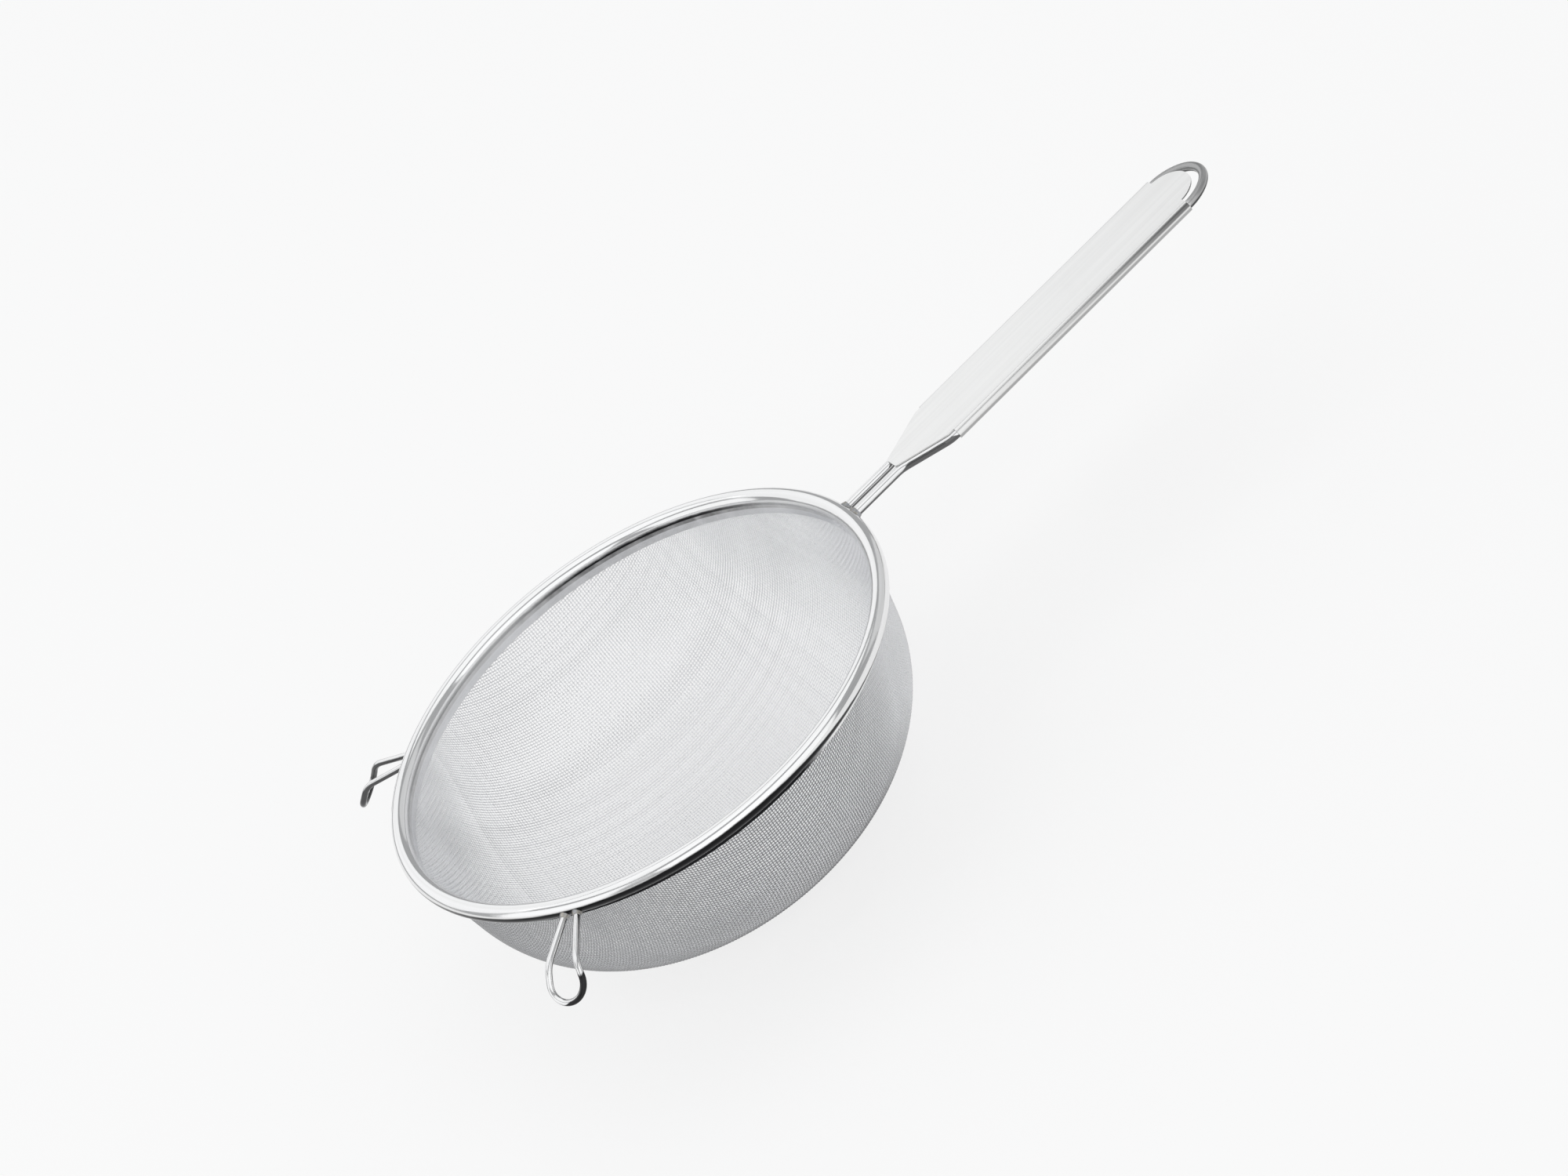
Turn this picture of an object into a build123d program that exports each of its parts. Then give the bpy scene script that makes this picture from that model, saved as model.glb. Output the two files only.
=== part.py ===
from build123d import *
import os
from math import asin, atan2, cos, degrees, hypot, pi, radians, sin, tan

# Round kitchen sieve of stainless steel wire mesh
# Millimetres. The bowl's axis is Z, the handle points to +X, and the origin is the
# centre of the small flat that the bowl stands on.

# Rolled rim
rim_radius = 90.0
rim_height = 70.0
core_wire_radius = 1.15
band_thickness = 0.5
roll_clearance = 0.34
lip_length = 2.15
lip_clearance = 0.05

# Mesh bowl, of woven wire cloth
mesh_wire_diameter = 0.28
hem_clearance = 0.3
hem_wrap_deg = 200.0
rest_flat_radius = 10.0
dome_deg = 33.0
wall_lean_deg = 10.0
wall_length = 18.5

# Openings of the bowl, a coarse grid in the dome and two rows of windows round its side
grid_pitch = 20.0
grid_opening = 14.4
grid_margin = 7.7
window_pitch = 31.0
window_width = 22.5
window_bar = 3.0
window_rows = 2

# Handle frame, one wire bent as a hairpin
handle_tilt_deg = 4.0
handle_wire_radius = 1.5
handle_length = 156.7
handle_width_at_wires = 22.5
neck_length = 20.0
neck_width_at_wires = 6.0
taper_length = 17.0
frame_bend_radius = 9.0
loop_shoulder_radius = 14.0
loop_shoulder_deg = 48.0

# Handle plate, a strip whose long edges roll round the frame wire
plate_thickness = 0.5
plate_clearance = 0.05
plate_nose_overlap = 0.8
plate_corner_radius = 1.0
tongue_clearance = 0.35
hanging_gap = 2.6
roll_start_margin = 0.4

# Ear rests, two keyhole loops of thinner wire
ear_angle_deg = 46.0
ear_wire_radius = 1.05
ear_drop_at_rim = 1.2
ear_leg_half_spacing = 2.3
ear_eye_radius = 5.85
ear_leg_length = 17.4
ear_bend_to_eye = 6.0
ear_bend_radius = 8.5
ear_leg_slope_deg = 8.7
ear_eye_slope_deg = 48.4

# Welds where the wires meet the bead
weld_reach = 0.9
weld_swell = 0.8
weld_toe = 0.2
weld_sink = 1.2
seat_gap = 0.05

# Places that follow from the sizes above
mesh_thickness = 2 * mesh_wire_diameter
hem_radius = core_wire_radius + hem_clearance + mesh_thickness / 2
bead_radius = hem_radius + mesh_thickness / 2 + roll_clearance + band_thickness
bead_centre_radius = rim_radius - bead_radius
pinch_radius = bead_centre_radius - hem_radius
lip_drop = bead_radius + lip_length
lip_bottom = rim_height - lip_drop
pinch_gap = mesh_thickness + 2 * lip_clearance
lips_width = pinch_gap + 2 * band_thickness


def sloped_plane(start, outward, rise_deg):
    """A plane through start whose X rises by rise_deg as it runs outward."""
    rise = radians(rise_deg)
    along = outward * cos(rise) + Vector(0, 0, sin(rise))
    normal = Vector(0, 0, cos(rise)) - outward * sin(rise)
    return Plane(origin=start, x_dir=along, z_dir=normal)


def cut_by_bead(clearance=0):
    """Take the rolled bead's outer shape, grown by a clearance, out of the piece."""
    with BuildSketch(Plane.XZ) as bead_outline:
        with Locations((bead_centre_radius, rim_height)):
            Circle(bead_radius + clearance)
    revolve(bead_outline.sketch, axis=Axis.Z, mode=Mode.SUBTRACT)


def weld_collar(wire_plane, wire_radius):
    """Weld metal round one wire end. The plane's Z runs out along the wire."""
    foot = (Align.CENTER, Align.CENTER, Align.MIN)
    with Locations(wire_plane):
        Cone(wire_radius + weld_swell, wire_radius + weld_toe, weld_sink + weld_reach, align=foot)
        Cylinder(wire_radius, weld_sink + weld_reach, align=foot, mode=Mode.SUBTRACT)


# Rim band: a strip rolled into a hollow bead, with two lips that pinch the mesh
with BuildPart() as rim_band:
    with BuildSketch(Plane.XZ) as band_section:
        with Locations((bead_centre_radius, rim_height)):
            Circle(bead_radius)
        with Locations((pinch_radius, rim_height)):
            Rectangle(lips_width, lip_drop, align=(Align.CENTER, Align.MAX))
        with Locations((bead_centre_radius, rim_height)):
            Circle(bead_radius - band_thickness, mode=Mode.SUBTRACT)
        with Locations((pinch_radius, rim_height)):
            Rectangle(pinch_gap, lip_drop, align=(Align.CENTER, Align.MAX), mode=Mode.SUBTRACT)
    revolve(axis=Axis.Z)

# Core wire: a hoop inside the bead that the mesh is turned over
with BuildPart() as rim_core_wire:
    with BuildSketch(Plane.XZ):
        with Locations((bead_centre_radius, rim_height)):
            Circle(core_wire_radius)
    revolve(axis=Axis.Z)

# Mesh bowl: flat foot, dome, corner, leaning wall, then up through the lips and over
# the core wire. The directions are set, so the two radii follow from how far the dome
# and the corner have to reach out and up between the foot and the wall.
dome_angle = radians(dome_deg)
wall_angle = radians(90 - wall_lean_deg)
reach_out = pinch_radius - wall_length * cos(wall_angle) - rest_flat_radius
reach_up = lip_bottom - wall_length * sin(wall_angle) - mesh_thickness / 2
dome_out = sin(dome_angle)
dome_up = 1 - cos(dome_angle)
corner_out = sin(wall_angle) - sin(dome_angle)
corner_up = cos(dome_angle) - cos(wall_angle)
turn = dome_out * corner_up - dome_up * corner_out
dome_radius = (reach_out * corner_up - reach_up * corner_out) / turn
corner_radius = (reach_up * dome_out - reach_out * dome_up) / turn
dome_centre = Vector(rest_flat_radius, mesh_thickness / 2 + dome_radius)
corner_centre = dome_centre + Vector(
    (dome_radius - corner_radius) * sin(dome_angle),
    -(dome_radius - corner_radius) * cos(dome_angle),
)

# Openings of the bowl: squares that clear the foot and stop on the corner, then rows of
# windows from there up to a bar below the lips
wall_foot = Vector(pinch_radius - wall_length * cos(wall_angle), lip_bottom - wall_length * sin(wall_angle))
grid_limit = wall_foot.X - grid_margin
grid_count = int(grid_limit / grid_pitch)
half_opening = grid_opening / 2
grid_places = []
for row in range(-grid_count, grid_count + 1):
    for column in range(-grid_count, grid_count + 1):
        x = row * grid_pitch
        y = column * grid_pitch
        nearest = hypot(max(abs(x) - half_opening, 0), max(abs(y) - half_opening, 0))
        farthest = hypot(abs(x) + half_opening, abs(y) + half_opening)
        if nearest > rest_flat_radius and farthest < grid_limit:
            grid_places.append((x, y))
grid_end_angle = asin((grid_limit - corner_centre.X) / corner_radius)
window_base = corner_centre.Y - corner_radius * cos(grid_end_angle)
window_height = (lip_bottom - window_base) / window_rows - window_bar
window_radius = (grid_limit + pinch_radius) / 2
window_depth = 2 * (pinch_radius - grid_limit)
window_count = round(2 * pi * window_radius / window_pitch)
with BuildPart() as mesh_bowl:
    with BuildSketch(Plane.XZ) as mesh_section:
        with BuildLine() as mesh_path:
            foot = Line((0, mesh_thickness / 2), (rest_flat_radius, mesh_thickness / 2))
            dome = CenterArc(dome_centre, dome_radius, -90, dome_deg)
            corner = CenterArc(
                corner_centre, corner_radius, dome_deg - 90, 90 - wall_lean_deg - dome_deg
            )
            wall = Line(corner @ 1, (pinch_radius, lip_bottom))
            throat = Line(wall @ 1, (pinch_radius, rim_height))
            hem = CenterArc((bead_centre_radius, rim_height), hem_radius, 180, -hem_wrap_deg)
        trace(line_width=mesh_thickness)
    revolve(axis=Axis.Z)
    with BuildSketch():
        with Locations(grid_places):
            Rectangle(grid_opening, grid_opening)
    extrude(amount=window_base, mode=Mode.SUBTRACT)
    for row in range(window_rows):
        with Locations((0, 0, window_base + row * (window_height + window_bar))):
            with PolarLocations(window_radius, window_count):
                Box(
                    window_depth,
                    window_width,
                    window_height,
                    align=(Align.CENTER, Align.CENTER, Align.MIN),
                    mode=Mode.SUBTRACT,
                )

# Handle frame: plan view in a plane that rises from the rim
handle_plane = sloped_plane(Vector(rim_radius, 0, rim_height), Vector(1, 0, 0), handle_tilt_deg)
half_neck = neck_width_at_wires / 2
half_handle = handle_width_at_wires / 2
shoulder = radians(loop_shoulder_deg)
loop_tip_radius = (half_handle - loop_shoulder_radius * (1 - cos(shoulder))) / cos(shoulder)
tip_centreline = handle_length - handle_wire_radius
straight_end = tip_centreline - loop_shoulder_radius * sin(shoulder) - loop_tip_radius * (1 - sin(shoulder))
taper_end = neck_length + taper_length
taper_deg = degrees(atan2(half_handle - half_neck, taper_length))
bend_setback = frame_bend_radius * tan(radians(taper_deg / 2))
tip_half_deg = 90 - loop_shoulder_deg
with BuildPart() as handle_frame_wire:
    with BuildLine(handle_plane) as frame_path:
        side = FilletPolyline(
            (-bead_radius, half_neck),
            (neck_length, half_neck),
            (taper_end, half_handle),
            (straight_end, half_handle),
            radius=frame_bend_radius,
        )
        shoulder_arc = CenterArc(
            (straight_end, half_handle - loop_shoulder_radius), loop_shoulder_radius, 90, -loop_shoulder_deg
        )
        mirror(side, about=Plane.XZ)
        mirror(shoulder_arc, about=Plane.XZ)
        tip_arc = CenterArc(
            (tip_centreline - loop_tip_radius, 0), loop_tip_radius, tip_half_deg, -2 * tip_half_deg
        )
    with BuildSketch(Plane(origin=frame_path.wire() @ 0, z_dir=frame_path.wire() % 0)):
        Circle(handle_wire_radius)
    sweep(path=frame_path.wire())
    cut_by_bead(seat_gap)

# Handle plate: a web on top of the wires, rolled round them along the straight part
web_level = handle_wire_radius + plate_clearance
roll_radius = web_level + plate_thickness
nose_start = neck_length - plate_nose_overlap
roll_start = taper_end + bend_setback + roll_start_margin
tongue_tip = tip_centreline - handle_wire_radius - hanging_gap
tongue_half_width = half_handle - handle_wire_radius - tongue_clearance
roll_plane = Plane(
    origin=handle_plane.from_local_coords((roll_start, 0, 0)), x_dir=(0, 1, 0), z_dir=handle_plane.x_dir
)
with BuildPart() as handle_plate:
    with BuildSketch(handle_plane.offset(web_level)) as web_outline:
        with BuildLine():
            nose = Line((nose_start, -half_neck), (nose_start, half_neck))
            edge = Polyline(
                nose @ 1,
                (taper_end, half_handle),
                (straight_end, half_handle),
                (straight_end, tongue_half_width),
            )
            tongue = ThreePointArc(edge @ 1, (tongue_tip, 0), (straight_end, -tongue_half_width))
            mirror(edge, about=Plane.XZ)
        make_face()
        fillet(web_outline.vertices().group_by(Axis.X)[0], radius=plate_corner_radius)
    extrude(amount=plate_thickness)
    with BuildSketch(roll_plane) as roll_section:
        with Locations((half_handle, 0)):
            Circle(roll_radius)
            Circle(web_level, mode=Mode.SUBTRACT)
            Rectangle(roll_radius, roll_radius, align=(Align.MAX, Align.MIN), mode=Mode.SUBTRACT)
        mirror(about=Plane.YZ)
    extrude(amount=straight_end - roll_start)

# Welds that hold the handle's two wire ends to the bead
with BuildPart() as handle_welds:
    for wire_place in (half_neck, -half_neck):
        weld_start = handle_plane.from_local_coords((-weld_sink, wire_place, 0))
        weld_collar(Plane(origin=weld_start, z_dir=handle_plane.x_dir), handle_wire_radius)
    cut_by_bead()

# Ear rests: legs leave the bead side by side, flare to a round eye, and bend down
ear_eye_distance = ear_leg_length + ear_bend_to_eye
eye_diagonal = hypot(ear_eye_distance, ear_leg_half_spacing)
leg_flare = asin(ear_eye_radius / eye_diagonal) - atan2(ear_leg_half_spacing, ear_eye_distance)
leg_reach = (eye_diagonal**2 - ear_eye_radius**2) ** 0.5
leg_start = -bead_radius / 2
leg_start_half = ear_leg_half_spacing + leg_start * tan(leg_flare)
leg_bend_half = ear_leg_half_spacing + ear_leg_length * tan(leg_flare)
eye_join = (leg_reach * cos(leg_flare) - ear_leg_length, ear_leg_half_spacing + leg_reach * sin(leg_flare))
eye_tip = ear_bend_to_eye + ear_eye_radius
ears = {}
for side_name, ear_turn in (("left", 180 + ear_angle_deg), ("right", 180 - ear_angle_deg)):
    radial = Vector(cos(radians(ear_turn)), sin(radians(ear_turn)), 0)
    ear_start = radial * rim_radius + Vector(0, 0, rim_height - ear_drop_at_rim)
    leg_plane = sloped_plane(ear_start, radial, -ear_leg_slope_deg)
    ear_bend = leg_plane.from_local_coords((ear_leg_length, 0, 0))
    eye_plane = sloped_plane(ear_bend, radial, -ear_eye_slope_deg)
    with BuildPart() as ear_rest:
        with BuildLine() as ear_path:
            for hand in (1, -1):
                FilletPolyline(
                    leg_plane.from_local_coords((leg_start, hand * leg_start_half, 0)),
                    leg_plane.from_local_coords((ear_leg_length, hand * leg_bend_half, 0)),
                    eye_plane.from_local_coords((eye_join[0], hand * eye_join[1], 0)),
                    radius=ear_bend_radius,
                )
            ThreePointArc(
                eye_plane.from_local_coords((eye_join[0], eye_join[1], 0)),
                eye_plane.from_local_coords((eye_tip, 0, 0)),
                eye_plane.from_local_coords((eye_join[0], -eye_join[1], 0)),
            )
        with BuildSketch(Plane(origin=ear_path.wire() @ 0, z_dir=ear_path.wire() % 0)):
            Circle(ear_wire_radius)
        sweep(path=ear_path.wire())
        cut_by_bead(seat_gap)
    ears[f"ear_rest_{side_name}"] = ear_rest

    with BuildPart() as ear_welds:
        for hand in (1, -1):
            weld_half = hand * (ear_leg_half_spacing - weld_sink * tan(leg_flare))
            weld_start = leg_plane.from_local_coords((-weld_sink, weld_half, 0))
            leg_direction = leg_plane.x_dir * cos(leg_flare) + leg_plane.y_dir * hand * sin(leg_flare)
            weld_collar(Plane(origin=weld_start, z_dir=leg_direction), ear_wire_radius)
        cut_by_bead()
    ears[f"ear_welds_{side_name}"] = ear_welds

# Files, one for each piece
pieces = {
    "rim_band": rim_band,
    "rim_core_wire": rim_core_wire,
    "mesh_bowl": mesh_bowl,
    "handle_frame_wire": handle_frame_wire,
    "handle_plate": handle_plate,
    "handle_welds": handle_welds,
    **ears,
}
os.makedirs("parts", exist_ok=True)
for name, piece in pieces.items():
    piece.part.label = name
    export_step(piece.part, f"parts/{name}.step")
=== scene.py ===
from math import cos, pi, radians, sin

import bpy
import numpy as np
from mathutils import Matrix, Vector


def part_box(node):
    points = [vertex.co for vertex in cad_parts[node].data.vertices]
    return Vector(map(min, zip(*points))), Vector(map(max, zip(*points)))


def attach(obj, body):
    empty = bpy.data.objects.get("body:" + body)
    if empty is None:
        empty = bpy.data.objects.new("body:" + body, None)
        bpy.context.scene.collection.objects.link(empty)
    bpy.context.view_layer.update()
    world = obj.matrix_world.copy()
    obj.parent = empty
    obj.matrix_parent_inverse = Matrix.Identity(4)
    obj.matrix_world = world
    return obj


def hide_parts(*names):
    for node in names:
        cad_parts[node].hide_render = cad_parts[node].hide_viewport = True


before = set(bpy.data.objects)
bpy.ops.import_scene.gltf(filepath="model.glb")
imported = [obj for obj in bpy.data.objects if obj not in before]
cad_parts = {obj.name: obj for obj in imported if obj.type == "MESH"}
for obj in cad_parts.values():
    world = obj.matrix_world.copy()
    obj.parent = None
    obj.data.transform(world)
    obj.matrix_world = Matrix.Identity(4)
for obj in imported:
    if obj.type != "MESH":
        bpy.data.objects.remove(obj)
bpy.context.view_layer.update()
MM = 0.001
ROOT = "root"

# Bowl sizes, as in the frame
rim_height = 70.0 * MM
pinch_radius = 85.42 * MM
lip_bottom = 65.0 * MM
foot_radius = 10.0 * MM
dome_angle = radians(33.0)
wall_angle = radians(80.0)
wall_length = 18.5 * MM

# Rim and handle, as in the frame
bead_radius = 2.85 * MM
pinch_inside = pinch_radius - 0.1 * MM
pinch_outside = pinch_radius + 0.3 * MM
lip_top = rim_height - 0.93 * bead_radius
lip_blend = 0.2 * MM
handle_tilt = radians(4.0)
neck_end = 110.0 * MM
taper_end = neck_end + 17.0 * MM
nose_lead = 1.0 * MM
nose_blend = 3.0 * MM
loop_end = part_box("handle_frame_wire")[1][0]
loop_length = 16.0 * MM

# Where the painted shade is darkest: inside the rim, and on the near ear's eye
darkest_azimuth = radians(60.0)
near_ear_azimuth = radians(-134.0)
ear_eye_start = 109.0 * MM
ear_eye_full = 112.0 * MM
ear_half_start = -2.5 * MM
ear_half_full = 0.5 * MM

# What is added to a surface's upward share: the lower it is, the farther up the painted shade reaches
outer_rim_shift = -0.14
inner_rim_shift = 0.12
frame_wire_shift = 0.16
near_ear_shift = 0.15
far_ear_shift = -0.45

# Woven wire cloth
mesh_wire_diameter = 0.28 * MM
mesh_pitch = 1.0 * MM
mesh_wire_sides = 4
mesh_crimp = 0.13 * MM
cloth_middle = mesh_wire_diameter
wires_made_round = 1.1
spare_crossings = 6
newton_steps = 12

# Colours that several finishes share, and the depth of each finish's marks
# The near-black of the painted shade on undersides, in creases and in the near ear's eye
painted_shade_colour = (0.015, 0.015, 0.016, 1)
polished_depth = 0.004 * MM
brushed_depth = 0.001 * MM
annealed_depth = 0.003 * MM
weld_depth = 0.08 * MM

# Camera, as the photograph was taken
picture_width = 2000
picture_height = 1500
sensor_width = 36.0
focal_pixels = 6152.5
camera_distance = 1.5
camera_azimuth = radians(-6.458)
camera_elevation = radians(32.006)
camera_roll = radians(37.808)
rim_centre_pixel = (811.5, 891.3)

# Floor
floor_reach = 30.0
floor_whiteness = 0.7
floor_colour = (0.93, 0.93, 0.93, 1)

# Studio: each soft box has its place, its size and how much brighter it is than the world
world_colour = (0.42, 0.425, 0.43, 1)
lamp_aim = Vector((0, 0, 50.0 * MM))
softboxes = {
    "back softbox": ((-0.7, 2.0, 1.4), (3.6, 2.1), 0.64),
    "front softbox": ((0.2, -2.2, 1.0), (4.2, 2.2), 0.75),
    "overhead softbox": ((0.0, 0.1, 2.2), (3.2, 2.2), 0.7),
    "left softbox": ((-1.9, -0.3, 0.8), (1.9, 1.6), 0.72),
    "right softbox": ((2.0, 0.7, 0.9), (2.0, 1.6), 0.3),
}


# The cloth's middle surface, whose two radii follow from the foot, the lips and the slopes
foot_to_wall = Vector((pinch_radius - wall_length * cos(wall_angle) - foot_radius,
                       lip_bottom - wall_length * sin(wall_angle) - cloth_middle))
dome_reach = Vector((sin(dome_angle), 1 - cos(dome_angle)))
corner_reach = Vector((sin(wall_angle) - sin(dome_angle), cos(dome_angle) - cos(wall_angle)))
turn = dome_reach.cross(corner_reach)
dome_radius = foot_to_wall.cross(corner_reach) / turn
corner_radius = dome_reach.cross(foot_to_wall) / turn
dome_start = foot_radius
corner_start = dome_start + dome_radius * dome_angle
wall_start = corner_start + corner_radius * (wall_angle - dome_angle)
throat_start = wall_start + wall_length
cloth_end = throat_start + rim_height - lip_bottom


def bowl_section(run):
    """Radius, height and slope of the cloth's middle at each distance run from the centre."""
    run = np.asarray(run, float)
    on_dome = (run - dome_start) / dome_radius
    on_corner = dome_angle + (run - corner_start) / corner_radius
    along_wall = run - wall_start
    up_throat = run - throat_start
    corner_side = foot_radius + (dome_radius - corner_radius) * sin(dome_angle)
    corner_level = cloth_middle + dome_radius - (dome_radius - corner_radius) * cos(dome_angle)
    wall_side = corner_side + corner_radius * sin(wall_angle)
    wall_level = corner_level - corner_radius * cos(wall_angle)
    stretches = [run < dome_start, run < corner_start, run < wall_start, run < throat_start]
    radius = np.select(stretches, [
        run,
        foot_radius + dome_radius * np.sin(on_dome),
        corner_side + corner_radius * np.sin(on_corner),
        wall_side + along_wall * cos(wall_angle),
    ], pinch_radius)
    height = np.select(stretches, [
        cloth_middle,
        cloth_middle + dome_radius * (1 - np.cos(on_dome)),
        corner_level - corner_radius * np.cos(on_corner),
        wall_level + along_wall * sin(wall_angle),
    ], lip_bottom + up_throat)
    slope = np.select(stretches, [0.0, on_dome, on_corner, wall_angle], pi / 2)
    return radius, height, slope


def on_bowl(run, turn_angle):
    """Points and inward normals of the cloth's middle surface."""
    radius, height, slope = bowl_section(run)
    points = np.stack([radius * np.cos(turn_angle), radius * np.sin(turn_angle), height], -1)
    normals = np.stack([-np.sin(slope) * np.cos(turn_angle), -np.sin(slope) * np.sin(turn_angle),
                        np.cos(slope)], -1)
    return points, normals


def lay_net(pitch):
    """Lay square cloth over a quarter of the bowl, every crossing one pitch from the next.

    The two middle wires lie on the X and Y meridians. Every other crossing lies one
    pitch from the two before it, which Newton's method finds, a diagonal at a time.
    """
    count = int(cloth_end / pitch) + spare_crossings
    run = np.full((count + 1, count + 1), np.nan)
    angle = np.full((count + 1, count + 1), np.nan)
    run[:, 0] = run[0, :] = np.arange(count + 1) * pitch
    angle[:, 0] = 0
    angle[0, :] = pi / 2
    for diagonal in range(2, 2 * count + 1):
        i = np.arange(max(1, diagonal - count), min(count, diagonal - 1) + 1)
        j = diagonal - i
        nearest = np.fmin(run[i - 1, j], run[i, j - 1])
        reached = np.isfinite(run[i - 1, j] + run[i, j - 1]) & (nearest < cloth_end + 2 * pitch)
        i = i[reached]
        j = j[reached]
        if not len(i):
            break
        side_a = on_bowl(run[i - 1, j], angle[i - 1, j])[0]
        side_b = on_bowl(run[i, j - 1], angle[i, j - 1])[0]
        corner = on_bowl(run[i - 1, j - 1], angle[i - 1, j - 1])[0]
        guess = side_a + side_b - corner
        phi = np.arctan2(guess[:, 1], guess[:, 0])
        flat = np.maximum(run[i - 1, j], run[i, j - 1]) < foot_radius
        along = run[i - 1, j] + run[i, j - 1] - run[i - 1, j - 1]
        s = np.where(flat, np.hypot(guess[:, 0], guess[:, 1]), along)
        for _ in range(newton_steps):
            radius, _, slope = bowl_section(s)
            point = on_bowl(s, phi)[0]
            by_s = np.stack([np.cos(slope) * np.cos(phi), np.cos(slope) * np.sin(phi), np.sin(slope)], -1)
            by_phi = np.stack([-radius * np.sin(phi), radius * np.cos(phi), 0 * radius], -1)
            to_a = point - side_a
            to_b = point - side_b
            miss_a = (to_a**2).sum(-1) - pitch**2
            miss_b = (to_b**2).sum(-1) - pitch**2
            a_s = 2 * (to_a * by_s).sum(-1)
            a_phi = 2 * (to_a * by_phi).sum(-1)
            b_s = 2 * (to_b * by_s).sum(-1)
            b_phi = 2 * (to_b * by_phi).sum(-1)
            det = a_s * b_phi - a_phi * b_s
            s = s - (miss_a * b_phi - miss_b * a_phi) / det
            phi = phi - (a_s * miss_b - b_s * miss_a) / det
        run[i, j] = s
        angle[i, j] = phi
    return run, angle


def half_wire(run, angle):
    """One wire's crossings from a middle wire outward, cut off at the cloth's end."""
    inside = int(np.argmax(~(run <= cloth_end)))
    share = (cloth_end - run[inside - 1]) / (run[inside] - run[inside - 1])
    last = angle[inside - 1] + share * (angle[inside] - angle[inside - 1])
    return np.append(run[:inside], cloth_end), np.append(angle[:inside], last)


def net_wires(net, family):
    """The wires of one family, each as points, normals and over-or-under signs."""
    run, angle = net
    if family == "weft":
        run, angle = run.T, angle.T
    wires = []
    for k in range(run.shape[1]):
        if run[0, k] > cloth_end:
            break
        s, phi = half_wire(run[:, k], angle[:, k])
        points, normals = on_bowl(s, phi)
        steps = np.arange(len(s))
        over = np.where((steps + k) % 2, 1.0, -1.0)
        back = np.array([-1.0, 1, 1]) if family == "warp" else np.array([1.0, -1, 1])
        points = np.concatenate([(points * back)[:0:-1], points])
        normals = np.concatenate([(normals * back)[:0:-1], normals])
        over = np.concatenate([over[:0:-1], over])
        if family == "weft":
            over = -over
        wires.append((points, normals, over))
        if k:
            across = -back * np.array([1.0, 1, -1])
            wires.append((points * across, normals * across, over))
    return wires


# Node helpers
def link(tree, giver, taker):
    tree.links.new(giver, taker)


def feed(tree, socket, value):
    """Link a socket to a socket, or set a plain value on it."""
    if isinstance(value, bpy.types.NodeSocket):
        tree.links.new(value, socket)
    else:
        socket.default_value = value


def work_out(tree, operation, *values, clamp=False):
    """One step of arithmetic on sockets or plain values."""
    node = tree.nodes.new("ShaderNodeMath")
    node.operation = operation
    node.use_clamp = clamp
    for socket, value in zip(node.inputs, values):
        feed(tree, socket, value)
    return node.outputs[0]


def stretch(tree, vector, scale, turn=(0, 0, 0)):
    """Turn a place, then scale it along each axis."""
    turned = tree.nodes.new("ShaderNodeMapping")
    turned.vector_type = "POINT"
    turned.inputs["Rotation"].default_value = turn
    feed(tree, turned.inputs["Vector"], vector)
    scaled = tree.nodes.new("ShaderNodeVectorMath")
    scaled.operation = "MULTIPLY"
    feed(tree, scaled.inputs[0], turned.outputs[0])
    feed(tree, scaled.inputs[1], scale)
    return scaled.outputs[0]


def noise(tree, vector, scale, detail=3.0, roughness=0.5):
    """Soft random values from 0 to 1 over a place."""
    node = tree.nodes.new("ShaderNodeTexNoise")
    feed(tree, node.inputs["Vector"], vector)
    feed(tree, node.inputs["Scale"], scale)
    node.inputs["Detail"].default_value = detail
    node.inputs["Roughness"].default_value = roughness
    return node.outputs["Fac"]


def ramp(tree, value, low, high, to_low=0.0, to_high=1.0):
    """Bring a value from one range to another, smoothly and clamped."""
    node = tree.nodes.new("ShaderNodeMapRange")
    node.interpolation_type = "SMOOTHSTEP"
    feed(tree, node.inputs["Value"], value)
    feed(tree, node.inputs["From Min"], low)
    feed(tree, node.inputs["From Max"], high)
    feed(tree, node.inputs["To Min"], to_low)
    feed(tree, node.inputs["To Max"], to_high)
    return node.outputs["Result"]


def blend_colours(tree, share, one, other):
    """One colour where share is 0, the other where it is 1."""
    node = tree.nodes.new("ShaderNodeMix")
    node.data_type = "RGBA"
    feed(tree, node.inputs["Factor"], share)
    feed(tree, node.inputs[6], one)
    feed(tree, node.inputs[7], other)
    return node.outputs[2]


def split_place(tree, vector):
    """The X, Y and Z of a vector."""
    parts = tree.nodes.new("ShaderNodeSeparateXYZ")
    feed(tree, parts.inputs[0], vector)
    return parts.outputs


def from_axis(tree, x, y):
    """The distance from the bowl's axis."""
    return work_out(tree, "SQRT", work_out(tree, "MULTIPLY_ADD", x, x, work_out(tree, "MULTIPLY", y, y)))


def reach_toward(tree, x, y, azimuth):
    """How far a place lies from the bowl's axis in the direction of an azimuth."""
    return work_out(tree, "MULTIPLY_ADD", x, cos(azimuth), work_out(tree, "MULTIPLY", y, sin(azimuth)))


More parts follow.
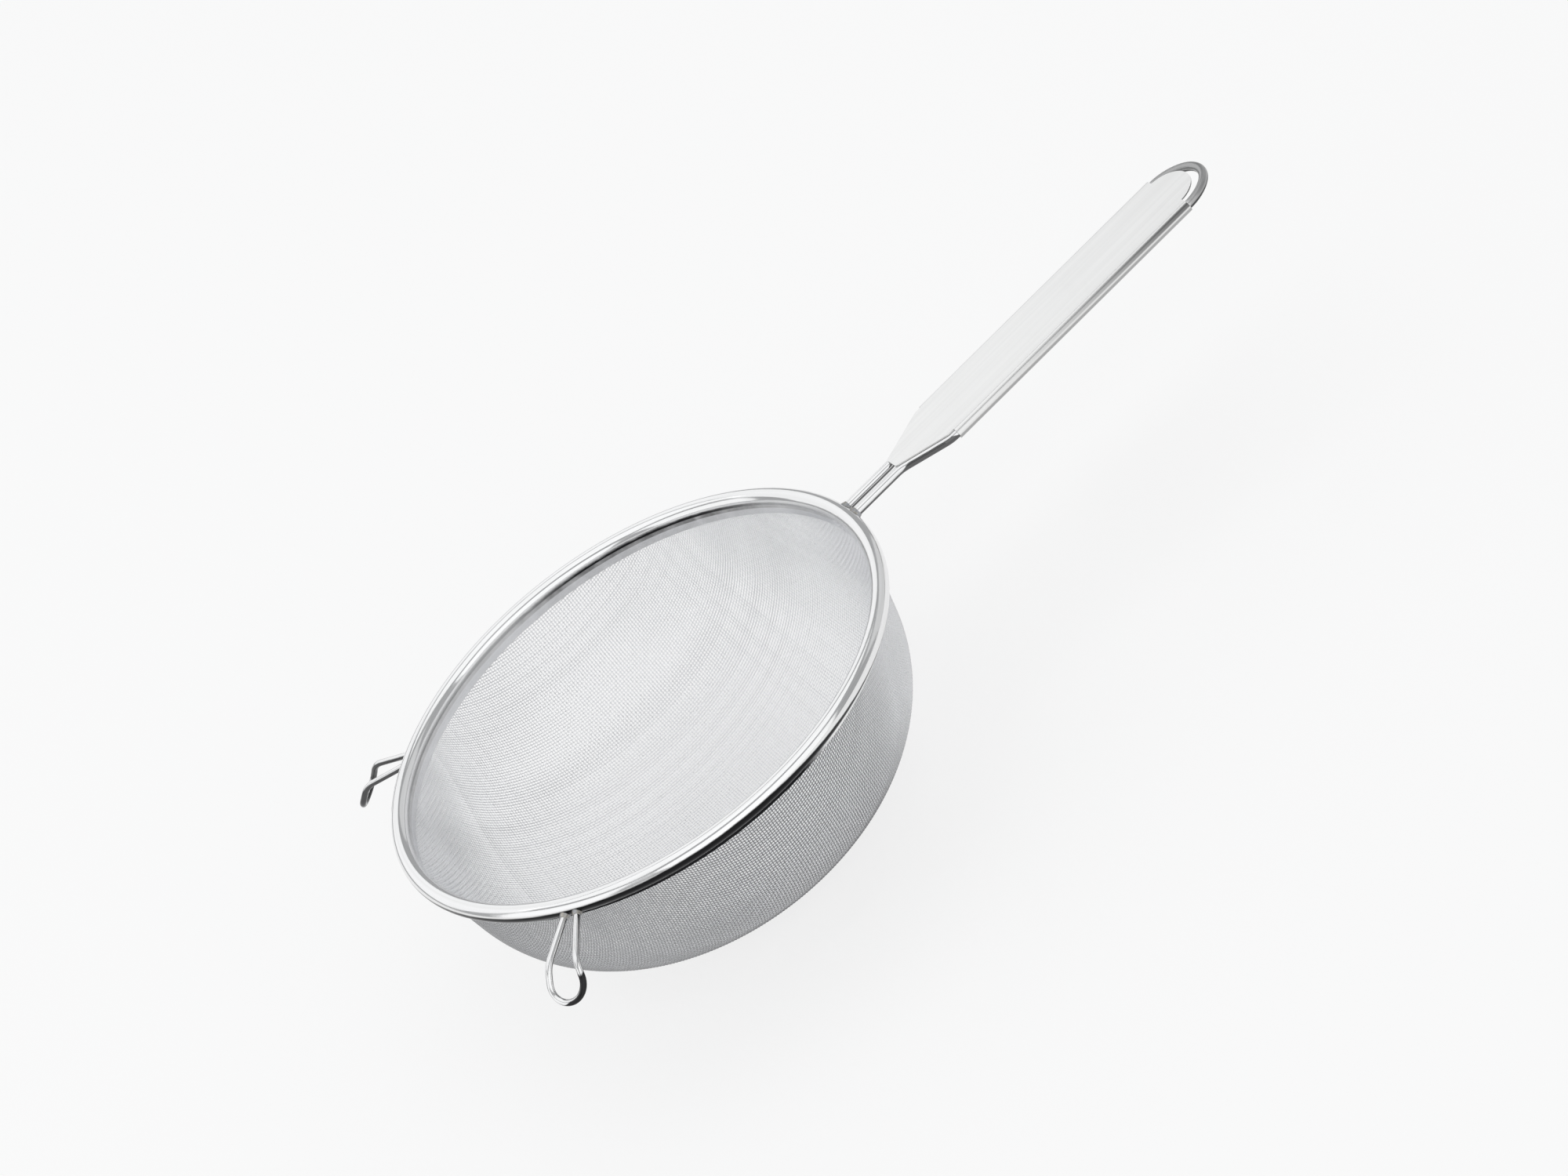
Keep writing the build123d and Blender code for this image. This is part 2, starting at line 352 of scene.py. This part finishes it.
# Geometry tree
def sweep_tree():
    """Wire swept along a mesh's edges, lifted over and under along its normals."""
    tree = bpy.data.node_groups.new("Wire sweep", "GeometryNodeTree")
    tree.interface.new_socket("Geometry", in_out="INPUT", socket_type="NodeSocketGeometry")
    kinds = {"Wire Radius": "Float", "Crimp": "Float", "Sides": "Int", "Material": "Material"}
    for name, kind in kinds.items():
        tree.interface.new_socket(name, in_out="INPUT", socket_type="NodeSocket" + kind)
    tree.interface.new_socket("Geometry", in_out="OUTPUT", socket_type="NodeSocketGeometry")
    source = tree.nodes.new("NodeGroupInput")
    result = tree.nodes.new("NodeGroupOutput")
    normal = tree.nodes.new("GeometryNodeInputNamedAttribute")
    normal.data_type = "FLOAT_VECTOR"
    normal.inputs["Name"].default_value = "cloth_normal"
    over = tree.nodes.new("GeometryNodeInputNamedAttribute")
    over.data_type = "FLOAT"
    over.inputs["Name"].default_value = "over_or_under"
    height = tree.nodes.new("ShaderNodeMath")
    height.operation = "MULTIPLY"
    offset = tree.nodes.new("ShaderNodeVectorMath")
    offset.operation = "SCALE"
    lift = tree.nodes.new("GeometryNodeSetPosition")
    line = tree.nodes.new("GeometryNodeMeshToCurve")
    ring = tree.nodes.new("GeometryNodeCurvePrimitiveCircle")
    tube = tree.nodes.new("GeometryNodeCurveToMesh")
    tube.inputs["Fill Caps"].default_value = True
    smooth = tree.nodes.new("GeometryNodeSetShadeSmooth")
    real = tree.nodes.new("GeometryNodeRealizeInstances")
    finish = tree.nodes.new("GeometryNodeSetMaterial")
    link(tree, over.outputs["Attribute"], height.inputs[0])
    link(tree, source.outputs["Crimp"], height.inputs[1])
    link(tree, normal.outputs["Attribute"], offset.inputs[0])
    link(tree, height.outputs[0], offset.inputs["Scale"])
    link(tree, source.outputs["Geometry"], lift.inputs["Geometry"])
    link(tree, offset.outputs[0], lift.inputs["Offset"])
    link(tree, lift.outputs["Geometry"], line.inputs["Mesh"])
    link(tree, source.outputs["Sides"], ring.inputs["Resolution"])
    link(tree, source.outputs["Wire Radius"], ring.inputs["Radius"])
    link(tree, line.outputs["Curve"], tube.inputs["Curve"])
    link(tree, ring.outputs["Curve"], tube.inputs["Profile Curve"])
    link(tree, tube.outputs["Mesh"], smooth.inputs["Geometry"])
    link(tree, smooth.outputs["Geometry"], real.inputs["Geometry"])
    link(tree, real.outputs["Geometry"], finish.inputs["Geometry"])
    link(tree, source.outputs["Material"], finish.inputs["Material"])
    link(tree, finish.outputs["Geometry"], result.inputs["Geometry"])
    return tree


def grow(name, start, tree, sizes):
    """Run a tree on a mesh with these sizes, and keep the result as a plain mesh."""
    seed = bpy.data.objects.new(name + "_start", start)
    bpy.context.scene.collection.objects.link(seed)
    growth = seed.modifiers.new("growth", "NODES")
    growth.node_group = tree
    for item in tree.interface.items_tree:
        if item.in_out == "INPUT" and item.name in sizes:
            growth[item.identifier] = sizes[item.name]
    bpy.context.view_layer.update()
    ready = seed.evaluated_get(bpy.context.evaluated_depsgraph_get())
    mesh = bpy.data.meshes.new_from_object(ready)
    bpy.data.objects.remove(seed)
    mesh.name = name
    piece = bpy.data.objects.new(name, mesh)
    bpy.context.scene.collection.objects.link(piece)
    return piece


def wires_start(wires):
    """A mesh of plain lines, one for each wire, with the attributes that the sweep reads."""
    points = np.concatenate([wire[0] for wire in wires])
    normals = np.concatenate([wire[1] for wire in wires])
    over = np.concatenate([wire[2] for wire in wires])
    edges = []
    first = 0
    for wire in wires:
        count = len(wire[0])
        steps = np.arange(first, first + count - 1)
        edges.append(np.stack([steps, steps + 1], -1))
        first += count
    mesh = bpy.data.meshes.new("wires")
    mesh.from_pydata(points.tolist(), np.concatenate(edges).tolist(), [])
    cloth_normal = mesh.attributes.new("cloth_normal", "FLOAT_VECTOR", "POINT")
    cloth_normal.data.foreach_set("vector", normals.ravel())
    over_or_under = mesh.attributes.new("over_or_under", "FLOAT", "POINT")
    over_or_under.data.foreach_set("value", over)
    return mesh


# Shared effects
def start_group(name, values, outputs):
    """A shader node group with a Place input, named value inputs and named outputs."""
    tree = bpy.data.node_groups.new(name, "ShaderNodeTree")
    tree.interface.new_socket("Place", in_out="INPUT", socket_type="NodeSocketVector")
    for label, value in values.items():
        socket = tree.interface.new_socket(label, in_out="INPUT", socket_type="NodeSocketFloat")
        socket.default_value = value
    for label in outputs:
        tree.interface.new_socket(label, in_out="OUTPUT", socket_type="NodeSocketFloat")
    return tree, tree.nodes.new("NodeGroupInput"), tree.nodes.new("NodeGroupOutput")


def make_handling_group():
    """Soft smudges from handling and short fine scratches, on any steel."""
    tree, given, out = start_group("Handling marks", {"Smudge Size": 60.0, "Scratch Size": 420.0},
                                   ("Smudge", "Scratch"))
    place = given.outputs["Place"]
    patches = noise(tree, place, given.outputs["Smudge Size"], 4.0, 0.6)
    feed(tree, out.inputs["Smudge"], ramp(tree, patches, 0.45, 0.75))
    strongest = 0.0
    for lean in (0.5, 1.7, 2.6):
        lines = noise(tree, stretch(tree, place, (1.0, 0.02, 1.0), (lean, lean, lean)),
                      given.outputs["Scratch Size"], 1.0)
        strongest = work_out(tree, "MAXIMUM", strongest, ramp(tree, lines, 0.72, 0.8))
    feed(tree, out.inputs["Scratch"], strongest)
    return tree


def make_drawn_group():
    """Fine lines left by drawing and rolling, along the direction in which Place is squeezed."""
    tree, given, out = start_group("Drawn lines", {"Fineness": 900.0}, ("Lines", "Streaks"))
    place = given.outputs["Place"]
    feed(tree, out.inputs["Lines"], noise(tree, place, given.outputs["Fineness"], 4.0, 0.7))
    wide = work_out(tree, "MULTIPLY", given.outputs["Fineness"], 0.2)
    feed(tree, out.inputs["Streaks"], noise(tree, place, wide, 2.0, 0.5))
    return tree


def make_painted_shade_group():
    """Painted shade, full where Level is under 0 and gone where it is over Edge."""
    values = {"Level": 0.0, "Edge": 0.3, "Unevenness": 0.25}
    tree, given, out = start_group("Painted shade", values, ("Painted shade",))
    uneven = work_out(tree, "SUBTRACT", noise(tree, given.outputs["Place"], 160.0, 3.0, 0.6), 0.5)
    level = work_out(tree, "MULTIPLY_ADD", uneven, given.outputs["Unevenness"], given.outputs["Level"])
    feed(tree, out.inputs["Painted shade"], ramp(tree, level, given.outputs["Edge"], 0.0))
    return tree


def use_group(tree, group, place, **values):
    """Put a shared effect into a material's tree. Its inputs' spaces are written as underscores."""
    node = tree.nodes.new("ShaderNodeGroup")
    node.node_tree = group
    feed(tree, node.inputs["Place"], place)
    for label, value in values.items():
        feed(tree, node.inputs[label.replace("_", " ")], value)
    return node.outputs


# Materials
def start_steel(name):
    """A metal material, its tree, its shader and its Object coordinates."""
    material = bpy.data.materials.new(name)
    material.use_nodes = True
    tree = material.node_tree
    shader = tree.nodes["Principled BSDF"]
    shader.inputs["Metallic"].default_value = 1
    where = tree.nodes.new("ShaderNodeTexCoord")
    return material, tree, shader, where


def finish_steel(tree, shader, colour, roughness, height, depth):
    """Feed the shader its colour, its roughness and a bump this deep."""
    feed(tree, shader.inputs["Base Color"], colour)
    feed(tree, shader.inputs["Roughness"], roughness)
    bump = tree.nodes.new("ShaderNodeBump")
    bump.inputs["Strength"].default_value = 1
    bump.inputs["Distance"].default_value = depth
    feed(tree, bump.inputs["Height"], height)
    feed(tree, shader.inputs["Normal"], bump.outputs["Normal"])


def wear(tree, marks, drawn, low, high):
    """Roughness from a low to a high value, by smudges, scratches and drawn lines."""
    smudged = work_out(tree, "MULTIPLY", marks["Smudge"], 0.5)
    scratched = work_out(tree, "MULTIPLY_ADD", marks["Scratch"], 0.35, smudged)
    streaked = work_out(tree, "MULTIPLY_ADD", drawn["Streaks"], 0.4, scratched)
    return ramp(tree, streaked, 0.0, 1.0, low, high)


def make_rim_steel(handling, drawn_lines, painted_shade_group):
    """Polished strip, with lines round the hoop and painted shade on the undersides and in the creases
    under the bead.
    """
    material, tree, shader, where = start_steel("rim steel")
    place = where.outputs["Object"]
    x, y, z = split_place(tree, place)
    radius = from_axis(tree, x, y)
    hoop = tree.nodes.new("ShaderNodeCombineXYZ")
    feed(tree, hoop.inputs[0], radius)
    feed(tree, hoop.inputs[1], z)
    feed(tree, hoop.inputs[2], work_out(tree, "MULTIPLY", x, 0.03))
    drawn = use_group(tree, drawn_lines, hoop.outputs[0], Fineness=3500.0)
    marks = use_group(tree, handling, place)
    upward = split_place(tree, where.outputs["Normal"])[2]
    tone = ramp(tree, drawn["Streaks"], 0.3, 0.7)
    colour = blend_colours(tree, tone, (0.80, 0.80, 0.80, 1), (0.86, 0.86, 0.865, 1))

    # Painted shade under the bead: outside it fades toward the handle; inside it is darkest toward
    # darkest_azimuth and lighter on the lips
    outer = ramp(tree, radius, pinch_inside, pinch_outside)
    inner = work_out(tree, "SUBTRACT", 1.0, outer)
    by_handle = ramp(tree, x, -0.1 * pinch_radius, 0.95 * pinch_radius, 0.0, 0.8)
    outer_level = work_out(tree, "ADD", work_out(tree, "ADD", upward, outer_rim_shift), by_handle)
    outer_dark = use_group(tree, painted_shade_group, place, Level=outer_level, Edge=0.2, Unevenness=0.1)["Painted shade"]
    inner_level = work_out(tree, "ADD", upward, inner_rim_shift)
    inner_dark = use_group(tree, painted_shade_group, place, Level=inner_level, Edge=0.3, Unevenness=0.2)["Painted shade"]

    across = reach_toward(tree, x, y, darkest_azimuth)
    darkest = ramp(tree, work_out(tree, "DIVIDE", across, radius), 0.8, 0.97, 0.4, 1.0)
    lips = work_out(tree, "MULTIPLY", inner, ramp(tree, z, lip_top + lip_blend, lip_top))
    colour = blend_colours(tree, lips, colour, (0.84, 0.845, 0.86, 1))
    inner_dark = work_out(tree, "MULTIPLY", work_out(tree, "MULTIPLY", inner_dark, inner), darkest)
    inner_dark = work_out(tree, "MULTIPLY", inner_dark, work_out(tree, "MULTIPLY_ADD", lips, -0.6, 1.0))
    outer_dark = work_out(tree, "MULTIPLY", outer_dark, outer)
    dark = work_out(tree, "MAXIMUM", inner_dark, outer_dark)
    # The painted shade is laid over the steel's colour here
    colour = blend_colours(tree, dark, colour, painted_shade_colour)
    finish_steel(tree, shader, colour, wear(tree, marks, drawn, 0.1, 0.26), drawn["Lines"], polished_depth)
    return material


def make_wire_steel(name, level_of, darkness, handling, drawn_lines, painted_shade_group):
    """Drawn wire, polished, with painted shade this dark where level_of(tree, place, normal) is low."""
    material, tree, shader, where = start_steel(name)
    place = where.outputs["Object"]
    drawn = use_group(tree, drawn_lines, stretch(tree, place, (0.08, 0.08, 1.0)), Fineness=3000.0)
    marks = use_group(tree, handling, place)
    level = level_of(tree, split_place(tree, place), split_place(tree, where.outputs["Normal"]))
    dark = use_group(tree, painted_shade_group, place, Level=level, Edge=0.25, Unevenness=0.2)["Painted shade"]
    tone = ramp(tree, drawn["Streaks"], 0.3, 0.7)
    colour = blend_colours(tree, tone, (0.76, 0.76, 0.765, 1), (0.83, 0.83, 0.83, 1))
    x = split_place(tree, place)[0]
    # Greyer and rougher toward the loop's end
    near_loop_end = ramp(tree, x, loop_end - loop_length, loop_end - 0.8 * loop_length)
    colour = blend_colours(tree, near_loop_end, colour, (0.4, 0.4, 0.4, 1))
    roughness = work_out(tree, "MULTIPLY_ADD", near_loop_end, 0.2, wear(tree, marks, drawn, 0.12, 0.28))
    # Painted shade, as dark as darkness allows
    dark = work_out(tree, "MULTIPLY", dark, darkness)
    colour = blend_colours(tree, dark, colour, painted_shade_colour)
    finish_steel(tree, shader, colour, roughness, drawn["Lines"], polished_depth)
    return material


def frame_wire_level(tree, place, normal):
    """Low, where shade is painted, on the wire's underside, and all round it beside the plate's nose."""
    past_neck = ramp(tree, place[0], neck_end - nose_lead, neck_end + nose_blend)
    before_straight = ramp(tree, place[0], taper_end + nose_blend, taper_end)
    by_nose = work_out(tree, "MULTIPLY", past_neck, before_straight)
    shaded = work_out(tree, "MULTIPLY_ADD", by_nose, -0.75, normal[2])
    return work_out(tree, "ADD", shaded, frame_wire_shift)


def near_ear_level(tree, place, normal):
    """Low, where shade is painted, on the underside, and round the half of the eye that lies toward the
    handle.
    """
    reach = from_axis(tree, place[0], place[1])
    in_eye = ramp(tree, reach, ear_eye_start, ear_eye_full)
    aside = reach_toward(tree, place[0], place[1], near_ear_azimuth + pi / 2)
    handle_half = work_out(tree, "MULTIPLY", in_eye, ramp(tree, aside, ear_half_start, ear_half_full))
    shaded = work_out(tree, "MULTIPLY_ADD", handle_half, -0.85, normal[2])
    return work_out(tree, "ADD", shaded, near_ear_shift)


def far_ear_level(tree, place, normal):
    """Low, where shade is painted, all round but on top."""
    return work_out(tree, "ADD", normal[2], far_ear_shift)


def make_plate_steel(handling, drawn_lines):
    """Satin sheet, brushed along the handle, with painted shade on the folds, stronger toward the loop,
    and on the downward faces of the rolled sides.
    """
    material, tree, shader, where = start_steel("plate steel")
    place = where.outputs["Object"]
    along = stretch(tree, place, (0.02, 1.0, 1.0), (0, handle_tilt, 0))
    drawn = use_group(tree, drawn_lines, along, Fineness=2600.0)
    marks = use_group(tree, handling, place, Smudge_Size=35.0)
    x = split_place(tree, place)[0]
    upward = split_place(tree, where.outputs["Normal"])[2]
    # Painted shade on the sloping faces where the sheet rolls over the wire
    painted_fold_shade = work_out(tree, "MULTIPLY", ramp(tree, upward, 0.97, 0.8), ramp(tree, upward, 0.1, 0.35))
    painted_fold_shade = work_out(tree, "MULTIPLY", painted_fold_shade, ramp(tree, x, taper_end, loop_end, 0.1, 0.95))
    tone = ramp(tree, drawn["Streaks"], 0.3, 0.7)
    colour = blend_colours(tree, tone, (0.80, 0.80, 0.795, 1), (0.84, 0.84, 0.835, 1))
    # Painted shade on the faces that turn downward
    side = work_out(tree, "MULTIPLY", ramp(tree, upward, 0.12, -0.2), 0.55)
    colour = blend_colours(tree, work_out(tree, "MAXIMUM", painted_fold_shade, side), colour, (0.1, 0.1, 0.1, 1))
    finish_steel(tree, shader, colour, wear(tree, marks, drawn, 0.28, 0.33), drawn["Lines"], brushed_depth)
    return material


def make_cloth_steel():
    """Bright annealed wire, with painted shade on the outside of the bowl, less of it toward the handle
    and a little less toward the ears, and with slow changes of tone over the cloth.
    """
    material, tree, shader, where = start_steel("cloth steel")
    place = where.outputs["Object"]
    patches = noise(tree, place, 30.0, 3.0, 0.5)
    specks = noise(tree, place, 4000.0, 1.0, 0.5)
    from_middle = tree.nodes.new("ShaderNodeVectorMath")
    from_middle.operation = "SUBTRACT"
    feed(tree, from_middle.inputs[0], place)
    from_middle.inputs[1].default_value = (0, 0, rim_height)
    outward = tree.nodes.new("ShaderNodeVectorMath")
    outward.operation = "DOT_PRODUCT"
    feed(tree, outward.inputs[0], from_middle.outputs[0])
    feed(tree, outward.inputs[1], where.outputs["Normal"])
    x = split_place(tree, place)[0]
    by_handle = ramp(tree, x, 0.3 * pinch_radius, 0.85 * pinch_radius, 0.93, 0.2)
    by_ears = ramp(tree, x, -0.7 * pinch_radius, 0.0, 0.8, 1.0)
    outside = ramp(tree, outward.outputs["Value"], -0.1 * pinch_radius, 0.4 * pinch_radius)
    # Painted shade on the wire faces that look outward from the bowl
    outside_shade = work_out(tree, "MULTIPLY", outside, work_out(tree, "MULTIPLY", by_handle, by_ears))
    tone = ramp(tree, patches, 0.3, 0.7)
    colour = blend_colours(tree, tone, (0.94, 0.945, 0.96, 1), (0.97, 0.975, 0.99, 1))
    colour = blend_colours(tree, outside_shade, colour, (0.2, 0.2, 0.205, 1))
    finish_steel(tree, shader, colour, ramp(tree, specks, 0.3, 0.7, 0.26, 0.4), specks, annealed_depth)
    return material


def make_weld_steel(handling):
    """Small darker welds, rough, with a faint straw and blue heat tint."""
    material, tree, shader, where = start_steel("weld steel")
    place = where.outputs["Object"]
    ripples = noise(tree, place, 1800.0, 3.0, 0.6)
    tint = ramp(tree, noise(tree, place, 700.0, 1.0, 0.5), 0.35, 0.65)
    colour = blend_colours(tree, tint, (0.46, 0.44, 0.40, 1), (0.38, 0.39, 0.41, 1))
    marks = use_group(tree, handling, place)
    colour = blend_colours(tree, marks["Smudge"], colour, (0.18, 0.17, 0.16, 1))
    finish_steel(tree, shader, colour, ramp(tree, ripples, 0.2, 0.8, 0.3, 0.6), ripples, weld_depth)
    return material


handling = make_handling_group()
drawn_lines = make_drawn_group()
painted_shade_group = make_painted_shade_group()
rim_steel = make_rim_steel(handling, drawn_lines, painted_shade_group)
wire_steel = make_wire_steel("wire steel", frame_wire_level, 0.85, handling, drawn_lines, painted_shade_group)
near_ear_steel = make_wire_steel("near ear steel", near_ear_level, 0.98, handling, drawn_lines, painted_shade_group)
far_ear_steel = make_wire_steel("far ear steel", far_ear_level, 0.9, handling, drawn_lines, painted_shade_group)
plate_steel = make_plate_steel(handling, drawn_lines)
mesh_steel = make_cloth_steel()
weld_steel = make_weld_steel(handling)


def weave_bowl():
    """The cloth as real wires, each family in two bundles."""
    net = lay_net(mesh_pitch)
    tree = sweep_tree()
    sizes = {
        "Wire Radius": mesh_wire_diameter / 2 * wires_made_round,
        "Crimp": mesh_crimp,
        "Sides": mesh_wire_sides,
        "Material": mesh_steel,
    }
    for family, axis in (("warp", 1), ("weft", 0)):
        halves = {"a": [], "b": []}
        for wire in net_wires(net, family):
            halves["a" if wire[0][:, axis].mean() >= 0 else "b"].append(wire)
        for half, wires in halves.items():
            piece = grow(f"{family}_wires_{half}", wires_start(wires), tree, sizes)
            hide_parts("mesh_bowl")
            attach(piece, ROOT)


# Stage
def set_camera():
    """Aim the camera at the rim's centre, roll it, and turn it to bring that centre to its pixel."""
    rim_centre = Vector((0, 0, rim_height))
    ahead = Vector((-sin(camera_azimuth), cos(camera_azimuth), 0))
    toward = Vector((0, 0, sin(camera_elevation))) - ahead * cos(camera_elevation)
    level = Vector((cos(camera_azimuth), sin(camera_azimuth), 0))
    upright = toward.cross(level)
    right = level * cos(camera_roll) - upright * sin(camera_roll)
    up = level * sin(camera_roll) + upright * cos(camera_roll)
    facing = Matrix((right, up, toward)).transposed()
    off_centre = Vector((
        (rim_centre_pixel[0] - picture_width / 2) / focal_pixels,
        (picture_height / 2 - rim_centre_pixel[1]) / focal_pixels,
        -1,
    ))
    facing = facing @ off_centre.rotation_difference(Vector((0, 0, -1))).to_matrix()
    lens = bpy.data.cameras.new("camera")
    lens.sensor_width = sensor_width
    lens.lens = sensor_width * focal_pixels / picture_width
    camera = bpy.data.objects.new("camera", lens)
    camera.matrix_world = Matrix.Translation(rim_centre + toward * camera_distance) @ facing.to_4x4()
    bpy.context.scene.collection.objects.link(camera)
    bpy.context.scene.camera = camera


def lay_floor():
    """A wide pale floor that cameras, metal and glass see whiter than its lit colour."""
    corners = [(x * floor_reach, y * floor_reach, 0) for x, y in ((-1, -1), (1, -1), (1, 1), (-1, 1))]
    mesh = bpy.data.meshes.new("floor")
    mesh.from_pydata(corners, [], [(0, 1, 2, 3)])
    floor = bpy.data.objects.new("floor", mesh)
    bpy.context.scene.collection.objects.link(floor)
    material = bpy.data.materials.new("pale floor")
    material.use_nodes = True
    tree = material.node_tree
    shader = tree.nodes["Principled BSDF"]
    shader.inputs["Base Color"].default_value = floor_colour
    shader.inputs["Roughness"].default_value = 0.9
    shader.inputs["Specular IOR Level"].default_value = 0
    path = tree.nodes.new("ShaderNodeLightPath")
    seen = work_out(tree, "ADD", path.outputs["Is Camera Ray"], path.outputs["Is Glossy Ray"])
    seen = work_out(tree, "ADD", seen, path.outputs["Is Transmission Ray"], clamp=True)
    white = tree.nodes.new("ShaderNodeEmission")
    white.inputs["Color"].default_value = (1, 1, 1, 1)
    white.inputs["Strength"].default_value = 1
    mixed = tree.nodes.new("ShaderNodeMixShader")
    feed(tree, mixed.inputs[0], work_out(tree, "MULTIPLY", seen, floor_whiteness))
    link(tree, shader.outputs[0], mixed.inputs[1])
    link(tree, white.outputs[0], mixed.inputs[2])
    link(tree, mixed.outputs[0], tree.nodes["Material Output"].inputs["Surface"])
    mesh.materials.append(material)


def add_lamp(name, place, size, radiance):
    """A soft box of this size, this much brighter than the world behind it, aimed at the sieve."""
    lamp = bpy.data.lights.new(name, "AREA")
    lamp.shape = "RECTANGLE"
    lamp.size, lamp.size_y = size
    lamp.energy = radiance * pi * size[0] * size[1]
    holder = bpy.data.objects.new(name, lamp)
    holder.location = place
    holder.rotation_euler = (lamp_aim - Vector(place)).to_track_quat("-Z", "Y").to_euler()
    bpy.context.scene.collection.objects.link(holder)


def light_studio():
    """A pale world and its soft boxes."""
    world = bpy.data.worlds.new("studio")
    bpy.context.scene.world = world
    world.use_nodes = True
    world.node_tree.nodes["Background"].inputs["Color"].default_value = world_colour
    for name, (place, size, radiance) in softboxes.items():
        add_lamp(name, place, size, radiance)


weave_bowl()
finishes = {
    "rim_band": rim_steel,
    "rim_core_wire": wire_steel,
    "handle_frame_wire": wire_steel,
    "handle_plate": plate_steel,
    "handle_welds": weld_steel,
    "ear_rest_left": near_ear_steel,
    "ear_rest_right": far_ear_steel,
    "ear_welds_left": weld_steel,
    "ear_welds_right": weld_steel,
}
for node, material in finishes.items():
    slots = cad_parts[node].data.materials
    slots.clear()
    slots.append(material)
set_camera()
lay_floor()
light_studio()
bpy.context.scene.view_settings.view_transform = "Standard"
